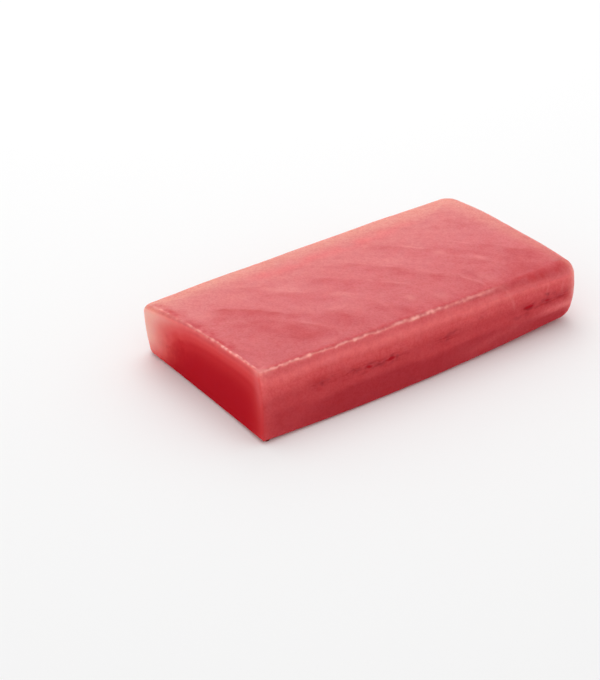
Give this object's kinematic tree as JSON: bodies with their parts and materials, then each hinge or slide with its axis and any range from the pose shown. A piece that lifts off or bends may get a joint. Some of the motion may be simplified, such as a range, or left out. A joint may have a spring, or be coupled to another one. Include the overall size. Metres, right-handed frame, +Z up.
{
  "type": "raw tuna steak",
  "caption": "Thick, squared block of raw red tuna: crisp rims at the freshly sliced end, soft rims at the back and far end, and a parting seam along the front.",
  "frame": {"origin": "centre of the footprint, on the surface that the block lies on", "axes": "+X along the block from its sliced end to its far end, +Y from its front to its back, +Z up"},
  "size_m": [0.1734, 0.092, 0.0303],
  "materials": {
    "flesh": "moist raw red flesh, deepest on the fresh cut and paler at the thin rims"
  },
  "bodies": {
    "root": {"tuna_block": "flesh"}
  },
  "joints": []
}
